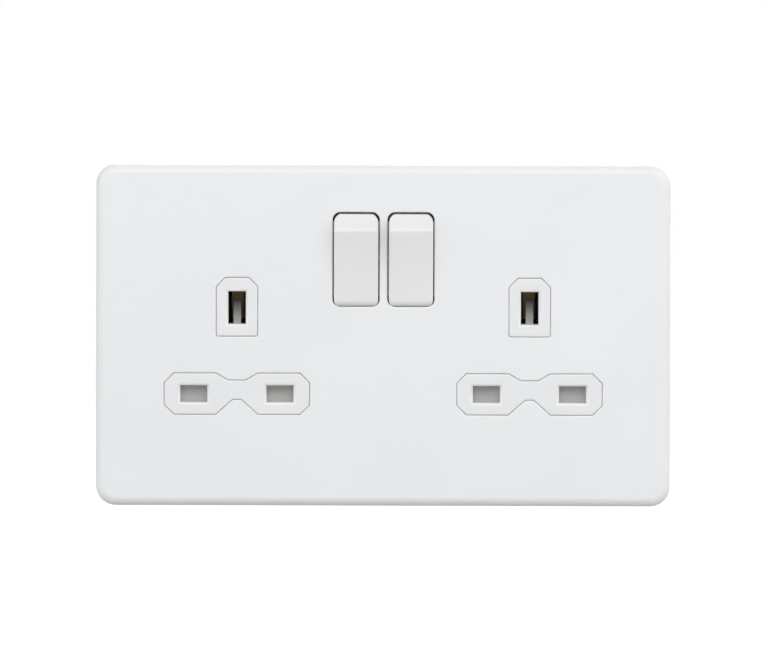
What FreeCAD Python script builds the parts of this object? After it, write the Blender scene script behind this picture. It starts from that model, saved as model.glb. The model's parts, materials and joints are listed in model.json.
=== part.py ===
import FreeCAD
import Part
import Sketcher

import math
import os
import re

# A twin switched wall socket, built in millimetres in its own frame.
# +X is to the right seen from the front, +Y runs into the wall, +Z is up.
# The wall face is the plane Y = 0 and the origin lies midway between the two fixing screws.

Vector = FreeCAD.Vector

# Driving sizes: name, value in millimetres (degrees for tilts), what it is
SIZE_LIST = (
    ("plate_width", 148, "cover plate, side to side"),
    ("plate_height", 88, "cover plate, bottom to top"),
    ("plate_depth", 5.5, "cover plate, wall to front face"),
    ("plate_corner", 5.2, "radius of the plate's corners seen from the front"),
    ("plate_edge", 2.5, "rolled radius of the plate's front edge"),
    ("cover_sheet", 1.0, "thickness of the pressed cover"),
    ("island_gap", 0.08, "gap round each island in its cut-out"),
    ("island_setback", 0.05, "islands' front below the cover's front"),
    ("clip_length", 12, "length of a clip bead inside the cover"),
    ("clip_front", 1.4, "clip bead's front edge ahead of the wall face"),
    ("clip_rear", 0.4, "clip bead's rear edge ahead of the wall face"),
    ("clip_proud", 0.5, "how far a clip bead stands off the wall"),
    ("clip_spacing", 46, "distance between clip beads along the long sides"),
    ("flange_gap", 0.35, "gap between the cover's walls and the flange"),
    ("flange_thick", 2.4, "thickness of the moulding's flange"),
    ("table_inset", 5.2, "table's edge in from the plate's edge"),
    ("table_gap", 0.15, "table's front behind the cover's inner face"),
    ("table_corner", 3.0, "corner radius of the table"),
    ("insert_edge", 0.8, "insert's rear flange outside its islands"),
    ("insert_lip", 0.6, "insert's front plate inside its rear flange"),
    ("core_depth", 2.0, "depth of the pockets in the moulding's back"),
    ("core_rib", 1.5, "ribs between those pockets"),
    ("core_margin", 1.6, "pockets in from the table's edge and out from the housing"),
    ("socket_spacing", 75.36, "between the two sockets' centre lines"),
    ("earth_height", 7.1, "earth pin's axis above the middle"),
    ("pin_pitch", 22.2, "earth pin to the live row, and line to neutral"),
    ("earth_slot_width", 4.5, "earth aperture across"),
    ("earth_slot_height", 8.4, "earth aperture up and down"),
    ("pin_slot_width", 6.9, "line and neutral apertures across"),
    ("pin_slot_height", 4.3, "line and neutral apertures up and down"),
    ("lead_in", 0.8, "rounded lead-in of each aperture"),
    ("earth_island_width", 10.62, "earth island across"),
    ("earth_island_above", 7.72, "earth island above the earth axis"),
    ("earth_island_below", 7.35, "earth island below the earth axis"),
    ("earth_island_corner", 2.3, "cut corners on top of the earth island"),
    ("earth_island_nick", 0.35, "cut corners at the foot of the earth island"),
    ("pin_island_width", 37.4, "two-lobed island across"),
    ("pin_island_height", 10.6, "two-lobed island up and down"),
    ("pin_island_corner", 2.45, "cut corners of the two-lobed island"),
    ("lobe_start", 5.4, "where each lobe begins, from the centre line"),
    ("neck_top", 3.5, "waist above the live row"),
    ("neck_top_half", 2.3, "half width of the waist's upper flat"),
    ("neck_bottom", 1.45, "waist below the live row"),
    ("neck_bottom_half", 1.1, "half width of the waist's lower flat"),
    ("rocker_spacing", 14.12, "between the two rockers' centre lines"),
    ("rocker_height", 19.6, "rockers' pivot above the middle"),
    ("opening_width", 12.05, "rocker opening across"),
    ("opening_height", 24.35, "rocker opening up and down"),
    ("opening_corner", 1.95, "rocker opening's corner radius"),
    ("well_margin", 0.28, "moulding's well outside the cover's opening"),
    ("rocker_width", 11.4, "rocker across"),
    ("rocker_reach", 12.15, "rocker's top end from its pivot"),
    ("toe_reach", 12.28, "rocker's bottom end radius about its pivot"),
    ("rocker_pivot", 2.2, "pivot in front of the wall face"),
    ("rocker_lip", 2.06, "top end's front corner ahead of the pivot"),
    ("rocker_crest", 5.13, "crest ahead of the pivot"),
    ("crest_height", 8.29, "crest above the pivot"),
    ("rocker_toe", 4.99, "bottom end's front corner ahead of the pivot"),
    ("rocker_dish", 100, "radius of the dished long face"),
    ("rocker_skirt", 2.5, "top skirt behind the pivot"),
    ("rocker_heel", 2.94, "bottom skirt behind the pivot"),
    ("rocker_wall", 1.4, "rocker's side walls"),
    ("lip_proud", 0.45, "lips along the rocker's skirts, out from its sides"),
    ("lip_front", 0.9, "those lips behind the pivot"),
    ("lip_thick", 1.0, "those lips front to back"),
    ("lip_start", 2.2, "lips' near ends from the pivot, clear of the trunnions"),
    ("lip_end", 9.6, "lips' far ends from the pivot"),
    ("end_wall", 1.85, "rocker's end walls, from its reach"),
    ("face_wall", 1.65, "rocker's face, front to back"),
    ("rocker_edge", 0.4, "broken long edges of the rocker"),
    ("crest_round", 1.8, "rounding of the rocker's crest"),
    ("rocker_toe_round", 1.5, "rounding across the rocker's bottom end"),
    ("toe_up", 0.98, "where that rounding starts, up the face"),
    ("toe_back", 0.88, "where that rounding ends, back along the end"),
    ("rocker_corner", 2.4, "rounding of the rocker's corners seen from the front"),
    ("rocker_tilt", 7, "rocker's tilt either side of level"),
    ("trunnion", 1.2, "rocker's trunnion radius"),
    ("trunnion_length", 0.9, "trunnion beyond the rocker's side"),
    ("trunnion_play", 0.05, "clearance round a trunnion"),
    ("pole_offset", 3.15, "each pole from its rocker's centre line"),
    ("barrel_radius", 2.3, "plunger barrel outside"),
    ("barrel_bore", 1.65, "plunger barrel bore"),
    ("barrel_end", 5.2, "barrel's end behind the pivot"),
    ("barrel_seat", 3.2, "bore's blind end ahead of the pivot"),
    ("plunger_radius", 1.2, "plunger's shaft"),
    ("plunger_collar", 1.55, "plunger's collar radius"),
    ("collar_start", 2.0, "collar's front behind the pivot"),
    ("collar_end", 4.0, "collar's rear behind the pivot"),
    ("plunger_tip", 11.2, "plunger's rounded tip behind the pivot"),
    ("plunger_gap", 0.05, "plunger's tip to the level blade"),
    ("blade_pivot", 1.2, "blade's face ahead of its pivot"),
    ("blade_thick", 0.8, "blade's thickness"),
    ("blade_width", 3.2, "blade across"),
    ("blade_half", 7.5, "blade's half length"),
    ("blade_round", 0.8, "rounding of the blade's ends"),
    ("blade_knuckle", 0.8, "blade's knuckle radius"),
    ("blade_tilt", 8, "blade's tilt either side of level"),
    ("rivet_radius", 1.3, "contact rivets"),
    ("rivet_proud", 0.5, "moving rivet's height"),
    ("rivet_reach", 6.1, "moving rivet from the blade's pivot"),
    ("contact_gap", 0.04, "closed contacts, face to face"),
    ("strip_front", 12.5, "outlet strips behind the wall face"),
    ("strip_thick", 0.8, "all copper strip"),
    ("strip_width", 3.0, "outer outlet strips across"),
    ("inner_strip", 2.2, "inner outlet strips across"),
    ("outer_bend", 7.4, "outer strip's run before its slant"),
    ("outer_turn", 14.2, "foot of the outer strip's slant, above the middle"),
    ("inner_turn", 9.8, "foot of the inner strip's drop, above the middle"),
    ("inner_run", 7.1, "head of the inner strip's last drop, above its jaw"),
    ("bus_front", 15.0, "supply bars behind the wall face"),
    ("bus_width", 4.0, "supply bars' crosspieces"),
    ("riser_width", 4.4, "supply bars' long legs"),
    ("line_bar_height", 25, "line bar's crosspiece above the middle"),
    ("neutral_bar_height", 14.2, "neutral bar's crosspiece above the middle"),
    ("post_width", 2.6, "cradle posts across"),
    ("post_height", 2.4, "cradle posts up and down"),
    ("cradle_play", 0.05, "clearance round a knuckle"),
    ("jaw_width", 6.0, "line and neutral jaws across"),
    ("jaw_half", 1.7, "half the free throat of every jaw"),
    ("jaw_leaf", 0.6, "jaw leaves' thickness"),
    ("jaw_mouth", 3.9, "mouth of the line and neutral jaws behind the wall face"),
    ("jaw_flare", 1.1, "how far a jaw's mouth opens"),
    ("earth_jaw_mouth", 5.2, "mouth of the earth jaws behind the wall face"),
    ("earth_jaw_height", 7.4, "earth jaws up and down"),
    ("earth_bar_front", 17.6, "earth bar behind the wall face"),
    ("earth_bar_width", 5.0, "earth bar's crosspiece"),
    ("earth_leg_width", 18.0, "earth bar's leg to the terminals"),
    ("terminal_x", 16.2, "line and neutral terminals either side of the middle"),
    ("earth_terminal_x", 5, "earth terminals either side of the middle"),
    ("terminal_low", -24.5, "foot of the terminal blocks"),
    ("terminal_top", -15.5, "top of the terminal blocks"),
    ("terminal_width", 8.4, "terminal block across"),
    ("terminal_depth", 7.8, "terminal block front to back"),
    ("cable_bore", 2.25, "cable bore radius"),
    ("cable_margin", 3.0, "cable bore's axis behind the block's front"),
    ("tongue", 2.0, "busbar's tongue inside its terminal block"),
    ("terminal_screw", 1.95, "terminal screw radius"),
    ("terminal_screw_end", 20.4, "terminal screw's slotted end behind the wall face"),
    ("screw_lift", 0.3, "terminal screw's foot clear of the cable bore"),
    ("driver_slot", 0.35, "half width of the small screws' slots"),
    ("slot_depth", 1.0, "depth of every driver slot"),
    ("block_bevel", 0.4, "broken edges of the terminal blocks"),
    ("screw_play", 0.1, "clearance round every screw"),
    ("shutter_front", 1.2, "shutter's front ahead of the wall face"),
    ("shutter_rear", 0.6, "shutter's rear behind the wall face"),
    ("shutter_half", 15.3, "shutter's half width"),
    ("shutter_over", 0.8, "shutter over the aperture's edges"),
    ("shutter_travel", 6.0, "shutter's slide"),
    ("shutter_play", 0.15, "shutter's running clearance"),
    ("stem_half", 2.4, "half width of the shutter's stem"),
    ("ramp_width", 2.0, "shutter's ramp across"),
    ("ramp_reach", 4.8, "ramp's tip behind the wall face"),
    ("spigot", 0.4, "radius of the shutter's peg in its spring"),
    ("spigot_length", 1.4, "length of that peg"),
    ("return_radius", 1.0, "shutter spring outside"),
    ("return_length", 8.2, "shutter spring's length with the shutter closed"),
    ("spring_wire", 0.35, "spring wire, thick"),
    ("return_turns", 5, "shutter spring's turns"),
    ("push_turns", 5, "plunger spring's turns"),
    ("fence_wall", 1.0, "shutter fence's wall"),
    ("fence_room", 0.9, "fence clear of the shutter"),
    ("fence_neck", 12.5, "fence's upper half width inside"),
    ("fence_rear", 2.25, "fence and retainer behind the wall face"),
    ("retainer_front", 0.75, "retainer's front behind the wall face"),
    ("fence_top", 13.8, "shutter fence's inner top above the middle"),
    ("stake_radius", 0.9, "retainer's stakes"),
    ("stake_x", 10, "stakes either side of a socket's centre line"),
    ("stake_height", 4, "stakes above the middle"),
    ("case_width", 114, "rear housing across"),
    ("case_low", -29, "rear housing's foot"),
    ("case_top", 34, "rear housing's top"),
    ("case_depth", 21.4, "rear housing behind the wall face"),
    ("case_wall", 1.6, "rear housing's walls"),
    ("case_floor", 1.8, "rear housing's floor"),
    ("carrier_plate", 1.0, "contact carrier's base plate, with the gap behind it"),
    ("case_corner", 3.0, "rear housing's corner radius"),
    ("lug_half", 6, "half height of the notch for a wall box lug"),
    ("lug_depth", 2.4, "depth of that notch"),
    ("case_screw_x", 51.2, "case screws either side of the middle"),
    ("case_screw_top", 29.8, "upper case screws"),
    ("case_screw_low", -6, "lower case screw, on the centre line"),
    ("case_screw", 1.3, "case screw radius"),
    ("case_screw_head", 2.6, "case screw's head radius"),
    ("case_screw_grip", 2.6, "case screw's reach into the front moulding"),
    ("pilot_depth", 3.0, "depth of its pilot hole there"),
    ("column_radius", 3.2, "screw column outside"),
    ("access_radius", 3.3, "hole in the floor over a terminal screw"),
    ("cable_entry", 3.0, "cable entry radius in the foot wall"),
    ("pillar", 1.4, "support pillar radius"),
    ("strip_pillar", 12.1, "upper pillars under the outer strips, above the middle"),
    ("riser_pillar", 5.6, "pillars under the risers, above the terminals"),
    ("seat_gap", 0.1, "between a bar and what carries it"),
    ("barrier", 1.0, "barrier walls"),
    ("barrier_front", 4.5, "terminal barriers' front behind the wall face"),
    ("strap_width", 5.0, "earth straps across"),
    ("strap_leg_x", 52.1, "strap's leg from the middle"),
    ("eyelet_radius", 4.0, "strap's eyelet"),
    ("fixing_spacing", 120.6, "between the fixing screws"),
    ("fixing_radius", 1.75, "fixing screw's thread"),
    ("fixing_shank", 1.55, "fixing screw's plain shank"),
    ("fixing_head", 3.4, "fixing screw's head radius"),
    ("fixing_slot", 0.45, "half width of the fixing screw's slot"),
    ("fixing_length", 22, "fixing screw into the wall box"),
)

doc = FreeCAD.newDocument("twin_socket")
sheet = doc.addObject("Spreadsheet::Sheet", "Sizes")
for row, (name, value, meaning) in enumerate(SIZE_LIST, start=1):
    sheet.set("A%d" % row, name)
    sheet.set("B%d" % row, str(value))
    sheet.set("C%d" % row, meaning)
    sheet.setAlias("B%d" % row, name)
doc.recompute()

SIZE_NAMES = {name for name, value, meaning in SIZE_LIST}
CLOSE = 1e-4
pieces = []


# An expression in terms of the sheet: each size's name gets the sheet's name before it
def bound(text):
    def cell(match):
        word = match.group(0)
        return "Sizes." + word if word in SIZE_NAMES else word
    return re.sub(r"[a-z][a-z_]*", cell, text)


def value(text):
    result = sheet.evalExpression(bound(text))
    return float(getattr(result, "Value", result))


# Outlines: each corner is a pair of expressions, and a third and fourth entry
# make the side that starts there an arc of that radius, bulging left (1) or right (-1)
def box(low_a, high_a, low_b, high_b):
    return [(low_a, low_b), (high_a, low_b), (high_a, high_b), (low_a, high_b)]


def disc(a, b, radius):
    return ("disc", a, b, radius)


def plus(centre, offset):
    return "%s + (%s)" % (centre, offset)


def box_at(a, b, half_a, half_b):
    return box(
        plus(a, "-(%s)" % half_a), plus(a, half_a), plus(b, "-(%s)" % half_b), plus(b, half_b))


class Outline:
    # A fully dimensioned sketch on one of the body's origin planes
    NORMALS = {"XZ": -1, "YZ": 1, "XY": 1}

    def __init__(self, body, name, plane, level, loops):
        self.sketch = body.newObject("Sketcher::SketchObject", name)
        role = plane + "_Plane"
        origin = [item for item in body.Origin.OriginFeatures if item.Role == role][0]
        self.sketch.AttachmentSupport = (origin, [""])
        self.sketch.MapMode = "FlatFace"
        sign = "-" if self.NORMALS[plane] < 0 else ""
        self.sketch.setExpression("AttachmentOffset.Base.z", bound("%s(%s)" % (sign, level)))
        self.count = 0
        for loop in loops:
            if loop[0] == "disc":
                self.circle(*loop[1:])
            else:
                self.polygon(loop)

    def dimension(self, kind, expression, *where):
        index = self.sketch.addConstraint(
            Sketcher.Constraint(kind, *where, value(expression)))
        label = "size%d" % self.count
        self.count += 1
        self.sketch.renameConstraint(index, label)
        self.sketch.setExpression("Constraints." + label, bound(expression))

    def circle(self, a, b, radius):
        centre = Vector(value(a), value(b), 0)
        shape = Part.Circle(centre, Vector(0, 0, 1), value(radius))
        item = self.sketch.addGeometry(shape, False)
        self.dimension("DistanceX", a, -1, 1, item, 3)
        self.dimension("DistanceY", b, -1, 1, item, 3)
        self.dimension("Radius", radius, item)

    def polygon(self, corners):
        points = [Vector(value(corner[0]), value(corner[1]), 0) for corner in corners]
        ends = []
        for index, corner in enumerate(corners):
            start = points[index]
            finish = points[(index + 1) % len(points)]
            if len(corner) == 2:
                item = self.sketch.addGeometry(Part.LineSegment(start, finish), False)
                ends.append((item, 1, 2))
            else:
                item = self.sketch.addGeometry(
                    arc_between(start, finish, value(corner[2]), corner[3]), False)
                ends.append((item, 1, 2) if corner[3] > 0 else (item, 2, 1))
        for index, (item, first, last) in enumerate(ends):
            following = ends[(index + 1) % len(ends)]
            self.sketch.addConstraint(
                Sketcher.Constraint("Coincident", item, last, following[0], following[1]))
        for corner, (item, first, last) in zip(corners, ends):
            self.dimension("DistanceX", corner[0], -1, 1, item, first)
            self.dimension("DistanceY", corner[1], -1, 1, item, first)
            if len(corner) > 2:
                self.dimension("Radius", corner[2], item)


# The short arc between two points, its centre to the left (1) or right (-1) of the way there
def arc_between(start, finish, radius, side):
    chord = finish - start
    middle = (start + finish) / 2
    left = Vector(-chord.y, chord.x, 0).normalize()
    centre = middle + left * side * math.sqrt(max(radius ** 2 - (chord.Length / 2) ** 2, 0))
    if side < 0:
        start, finish = finish, start
    first = math.atan2(start.y - centre.y, start.x - centre.x)
    last = math.atan2(finish.y - centre.y, finish.x - centre.x)
    if last < first:
        last += 2 * math.pi
    return Part.ArcOfCircle(Part.Circle(centre, Vector(0, 0, 1), radius), first, last)


class Piece:
    # One sub-part: a body made by pads, pockets and edge treatments
    def __init__(self, label):
        self.body = doc.addObject("PartDesign::Body", label)
        self.body.Label = label
        self.body.AllowCompound = True
        pieces.append(self.body)

    def feature(self, kind, name, outline):
        doc.recompute()
        item = self.body.newObject("PartDesign::" + kind, name)
        item.Profile = outline.sketch
        return item

    # Material between two levels; sketches on XZ grow towards -Y, the others towards + X or Z
    def pad(self, name, loops, low, high, plane="XZ"):
        level = high if plane == "XZ" else low
        item = self.feature(
            "Pad", name, Outline(self.body, name + "_outline", plane, level, loops))
        item.setExpression("Length", bound("(%s) - (%s)" % (high, low)))
        doc.recompute()
        return item

    # Material removed between two levels, each cut compared with the volume before it
    def cut(self, name, loops, low, high, plane="XZ"):
        before = self.body.Shape.Volume
        level = low if plane == "XZ" else high
        item = self.feature(
            "Pocket", name, Outline(self.body, name + "_outline", plane, level, loops))
        item.setExpression("Length", bound("(%s) - (%s)" % (high, low)))
        doc.recompute()
        if item.Shape.Volume > before - CLOSE:
            raise ValueError("the cut %s removed nothing" % name)
        return item

    def spin(self, name, corners, plane, axis):
        item = self.feature(
            "Revolution", name, Outline(self.body, name + "_outline", plane, "0", [corners]))
        item.ReferenceAxis = (item.Profile[0], [axis])
        item.Angle = 360
        doc.recompute()

    # A wire coil along Z or Y from one level to another
    def coil(self, name, corner, plane, axis, length, turns):
        item = self.feature(
            "AdditiveHelix", name, Outline(self.body, name + "_outline", plane, "0", [corner]))
        item.ReferenceAxis = (item.Profile[0], [axis])
        item.Mode = 2
        item.setExpression("Height", bound(length))
        item.setExpression("Turns", bound(turns))
        doc.recompute()
        return item

    def edges(self, test):
        shape = self.body.Shape
        return ["Edge%d" % (index + 1) for index, edge in enumerate(shape.Edges) if test(edge)]

    def dress(self, kind, name, test, size):
        chosen = self.edges(test)
        if not chosen:
            raise ValueError("no edges for %s" % name)
        tip = self.body.Tip
        item = self.body.newObject("PartDesign::" + kind, name)
        item.Base = (tip, chosen)
        item.setExpression("Radius" if kind == "Fillet" else "Size", bound(size))
        doc.recompute()

    def round(self, name, test, radius):
        self.dress("Fillet", name, test, radius)

    def bevel(self, name, test, size):
        self.dress("Chamfer", name, test, size)

    # The walls left when one face is taken away
    def hollow(self, name, test, thickness):
        tip = self.body.Tip
        faces = [
            "Face%d" % (index + 1)
            for index, face in enumerate(self.body.Shape.Faces) if test(face)]
        item = self.body.newObject("PartDesign::Thickness", name)
        item.Base = (tip, faces)
        item.setExpression("Value", bound(thickness))
        item.Reversed = True
        item.Join = 0
        doc.recompute()

    def place(self, x, y, z, tilt="0"):
        self.body.Placement = FreeCAD.Placement(
            Vector(0, 0, 0), FreeCAD.Rotation(Vector(1, 0, 0), 1))
        self.body.setExpression("Placement.Base.x", bound(x))
        self.body.setExpression("Placement.Base.y", bound(y))
        self.body.setExpression("Placement.Base.z", bound(z))
        self.body.setExpression("Placement.Rotation.Angle", bound(tilt))
        doc.recompute()


# Edge and face tests
def along(axis):
    def test(edge):
        if len(edge.Vertexes) != 2:
            return False
        step = edge.Vertexes[1].Point - edge.Vertexes[0].Point
        straight = abs(abs(getattr(step, axis)) - step.Length) < CLOSE
        return straight and isinstance(edge.Curve, Part.Line)
    return test


def at_level(axis, expression):
    def test(edge):
        level = value(expression)
        return all(abs(getattr(vertex.Point, axis) - level) < CLOSE for vertex in edge.Vertexes)
    return test


def inside(x, z, half_x, half_z):
    def test(edge):
        middle = edge.CenterOfMass
        near_x = abs(middle.x - value(x)) < value(half_x) + CLOSE
        near_z = abs(middle.z - value(z)) < value(half_z) + CLOSE
        return near_x and near_z
    return test


def ahead_of(expression):
    return lambda edge: edge.CenterOfMass.y < value(expression)


def round_edge(edge):
    return isinstance(edge.Curve, Part.Circle)


def both(*tests):
    return lambda edge: all(test(edge) for test in tests)


def either(*tests):
    return lambda edge: any(test(edge) for test in tests)


# Places shared by the pieces
SIDES = ((-1, "left"), (1, "right"))
# A cut corner grows by this much of the outline's growth
CORNER_GROWTH = "(2 - sqrt(2))"
# A half circle's radius is a hair over half its width, so that its sketch can always close
HALF_CIRCLE = " * 1.0001"
# A bevel may take nearly the whole of a rim, but not all of it
NEARLY = " * 0.999"
FRONT = "-plate_depth"
INNER_FACE = "(-plate_depth + cover_sheet)"
TABLE_FRONT = "(-plate_depth + cover_sheet + table_gap)"
ISLAND_FRONT = "(-plate_depth + island_setback)"
PIN_ROW = "(earth_height - pin_pitch)"
CHAMBER_FRONT = "(-shutter_front - shutter_play)"
PIVOT_Y = "(-rocker_pivot)"
BLADE_Y = "(-rocker_pivot + plunger_tip + plunger_gap + blade_pivot)"
STRIP_REAR = "(strip_front + strip_thick)"
BUS_REAR = "(bus_front + strip_thick)"
EARTH_REAR = "(earth_bar_front + strip_thick)"
FLOOR = "(case_depth - case_floor)"
CARRIER = "(case_depth - case_floor - carrier_plate)"
CARRIER_ROOT = "(case_depth - case_floor - carrier_plate / 2)"
# The moving rivet's rear face when its blade is tilted to the closed side
RIVET_FACE = "(rivet_proud - (blade_pivot - blade_thick))"
CONTACT_Y = (
    "(%s + %s * cos(blade_tilt * 1deg) + (rivet_reach + rivet_radius) * sin(blade_tilt * 1deg)"
    " + contact_gap)" % (BLADE_Y, RIVET_FACE))
CONTACT_Z = (
    "(rocker_height + rivet_reach * cos(blade_tilt * 1deg)"
    " - %s * sin(blade_tilt * 1deg))" % RIVET_FACE)


def socket_x(side):
    return "(%d * socket_spacing / 2)" % side


def rocker_x(side):
    return "(%d * rocker_spacing / 2)" % side


# Poles are counted from the outside in on each rocker: outer poles feed the outer jaws
def pole_x(side, place):
    return "(%d * rocker_spacing / 2 + (%d) * pole_offset)" % (side, side * place)


def jaw_x(side, place):
    return "(%d * socket_spacing / 2 + (%d) * pin_pitch / 2)" % (side, side * place)


# Islands and openings that the cover and the moulding share; grow widens them all round
def earth_island(side, grow):
    x = socket_x(side)
    half = "(earth_island_width / 2 + %s)" % grow
    top = "(earth_height + earth_island_above + %s)" % grow
    foot = "(earth_height - earth_island_below - %s)" % grow
    cut = "(earth_island_corner + %s * %s)" % (CORNER_GROWTH, grow)
    nick = "(earth_island_nick + %s * %s)" % (CORNER_GROWTH, grow)
    return [
        (plus(x, "-%s + %s" % (half, nick)), foot),
        (plus(x, "%s - %s" % (half, nick)), foot),
        (plus(x, half), "%s + %s" % (foot, nick)),
        (plus(x, half), "%s - %s" % (top, cut)),
        (plus(x, "%s - %s" % (half, cut)), top),
        (plus(x, "-%s + %s" % (half, cut)), top),
        (plus(x, "-" + half), "%s - %s" % (top, cut)),
        (plus(x, "-" + half), "%s + %s" % (foot, nick)),
    ]


def pin_island(side, grow):
    x = socket_x(side)
    half = "(pin_island_width / 2 + %s)" % grow
    rise = "(pin_island_height / 2 + %s)" % grow
    cut = "(pin_island_corner + %s * %s)" % (CORNER_GROWTH, grow)
    corners = [
        ("-neck_bottom_half", "-neck_bottom - %s" % grow),
        ("-lobe_start", "-" + rise),
        ("-%s + %s" % (half, cut), "-" + rise),
        ("-" + half, "-%s + %s" % (rise, cut)),
        ("-" + half, "%s - %s" % (rise, cut)),
        ("-%s + %s" % (half, cut), rise),
        ("-lobe_start", rise),
        ("-neck_top_half", "neck_top + %s" % grow),
        ("neck_top_half", "neck_top + %s" % grow),
        ("lobe_start", rise),
        ("%s - %s" % (half, cut), rise),
        (half, "%s - %s" % (rise, cut)),
        (half, "-%s + %s" % (rise, cut)),
        ("%s - %s" % (half, cut), "-" + rise),
        ("lobe_start", "-" + rise),
        ("neck_bottom_half", "-neck_bottom - %s" % grow),
    ]
    return [(plus(x, across), plus(PIN_ROW, up)) for across, up in reversed(corners)]


def rounded(a, b, half_a, half_b, radius):
    left, right = plus(a, "-(%s)" % half_a), plus(a, half_a)
    foot, top = plus(b, "-(%s)" % half_b), plus(b, half_b)
    return [
        (plus(left, radius), foot),
        (plus(right, "-" + radius), foot, radius, 1),
        (right, plus(foot, radius)),
        (right, plus(top, "-" + radius), radius, 1),
        (plus(right, "-" + radius), top),
        (plus(left, radius), top, radius, 1),
        (left, plus(top, "-" + radius)),
        (left, plus(foot, radius), radius, 1),
    ]


def rocker_opening(side, margin):
    return rounded(
        rocker_x(side), "rocker_height", "opening_width / 2 + " + margin,
        "opening_height / 2 + " + margin, "opening_corner")


def pin_slots(side):
    x = socket_x(side)
    slots = [box_at(x, "earth_height", "earth_slot_width / 2", "earth_slot_height / 2")]
    for place in (-1, 1):
        slots.append(box_at(
            jaw_x(side, place), PIN_ROW, "pin_slot_width / 2", "pin_slot_height / 2"))
    return slots


def cover_plate():
    piece = Piece("cover_plate")
    piece.pad("blank", [box_at("0", "0", "plate_width / 2", "plate_height / 2")], FRONT, "0")
    piece.round("corners", along("y"), "plate_corner")
    piece.round("rolled_edge", at_level("y", FRONT), "plate_edge")
    piece.hollow(
        "inside", lambda face: abs(face.CenterOfMass.y) < CLOSE, "cover_sheet")
    openings = []
    for side, name in SIDES:
        openings.append(earth_island(side, "island_gap"))
        openings.append(pin_island(side, "island_gap"))
        openings.append(rocker_opening(side, "0"))
    piece.cut("openings", openings, FRONT, "%s + cover_sheet" % INNER_FACE)
    inner = "(plate_height / 2 - cover_sheet)"
    beads = []
    for side in (-1, 1):
        for place in (-1, 0, 1):
            beads.append(box_at(
                "%d * clip_spacing" % place,
                "%d * (%s - clip_proud / 2 + cover_sheet / 4)" % (side, inner),
                "clip_length / 2", "clip_proud / 2 + cover_sheet / 4"))
    piece.pad("clip_beads", beads, "-clip_front", "-clip_rear")


def fixing_places():
    return ["%d * fixing_spacing / 2" % side for side, name in SIDES]


def socket_front():
    piece = Piece("socket_front")
    flange_x = "(plate_width / 2 - cover_sheet - flange_gap)"
    flange_z = "(plate_height / 2 - cover_sheet - clip_proud - flange_gap / 2)"
    piece.pad(
        "flange", [rounded("0", "0", flange_x, flange_z, "table_corner")], "-flange_thick", "0")
    piece.pad("table", [rounded(
        "0", "0", "plate_width / 2 - table_inset", "plate_height / 2 - table_inset",
        "table_corner")], TABLE_FRONT, "-flange_thick / 2")
    # Tongues in front of the cover's beads, which hook behind them
    tip = "(plate_height / 2 - cover_sheet - table_gap)"
    tongues = []
    for side in (-1, 1):
        for place in (-1, 0, 1):
            tongues.append(box_at(
                "%d * clip_spacing" % place, "%d * (%s + %s - flange_thick) / 2" % (
                    side, tip, flange_z),
                "clip_length / 2 - cover_sheet", "(%s - %s + flange_thick) / 2" % (tip, flange_z)))
    piece.pad("clip_tongues", tongues, "-flange_thick", "-clip_front - seat_gap")
    piece.cut("insert_seats", [insert_outline(side, "seat_gap") for side, name in SIDES],
              "-flange_thick - seat_gap", "0")
    piece.cut("insert_windows", [
        insert_outline(side, "seat_gap - insert_lip") for side, name in SIDES],
        TABLE_FRONT, "-flange_thick")
    piece.cut("wells", [rocker_opening(side, "well_margin") for side, name in SIDES],
              TABLE_FRONT, "0")
    radius = "(trunnion + trunnion_play)"
    reach = "(rocker_width / 2 + trunnion_length + trunnion_play)"
    slot = [
        (PIVOT_Y, "rocker_height - " + radius),
        ("0", "rocker_height - " + radius),
        ("0", "rocker_height + " + radius),
        (PIVOT_Y, "rocker_height + " + radius, radius + HALF_CIRCLE, 1),
    ]
    for side, name in SIDES:
        piece.cut("trunnion_slot_" + name, [slot],
                  plus(rocker_x(side), "-" + reach), plus(rocker_x(side), reach), "YZ")
    piece.cut("fixing_holes", [
        disc(x, "0", "fixing_radius + screw_play") for x in fixing_places()], TABLE_FRONT, "0")
    rims = either(*(inside(x, "0", "fixing_radius", "fixing_radius") for x in fixing_places()))
    piece.bevel("countersinks", both(at_level("y", TABLE_FRONT), rims),
                "fixing_head - fixing_shank")
    room = "(eyelet_radius + seat_gap)"
    near, far = "(strap_leg_x - seat_gap)", "(fixing_spacing / 2 + %s)" % room
    piece.cut("strap_seats", [
        box("-" + far, "-" + near, "-" + room, room), box(near, far, "-" + room, room)],
        "-strip_thick - seat_gap", "0")
    piece.cut("pilot_holes", [
        disc(x, z, "case_screw + screw_play / 2") for x, z in case_screw_places()],
        "-pilot_depth", "0")
    piece.cut("core_pockets", core_pockets(), "-core_depth", "0")


# Pockets above and below each lug, and from the middle to each side along the foot
CORE_ROWS = 3
CORE_CELLS = 4


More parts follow.
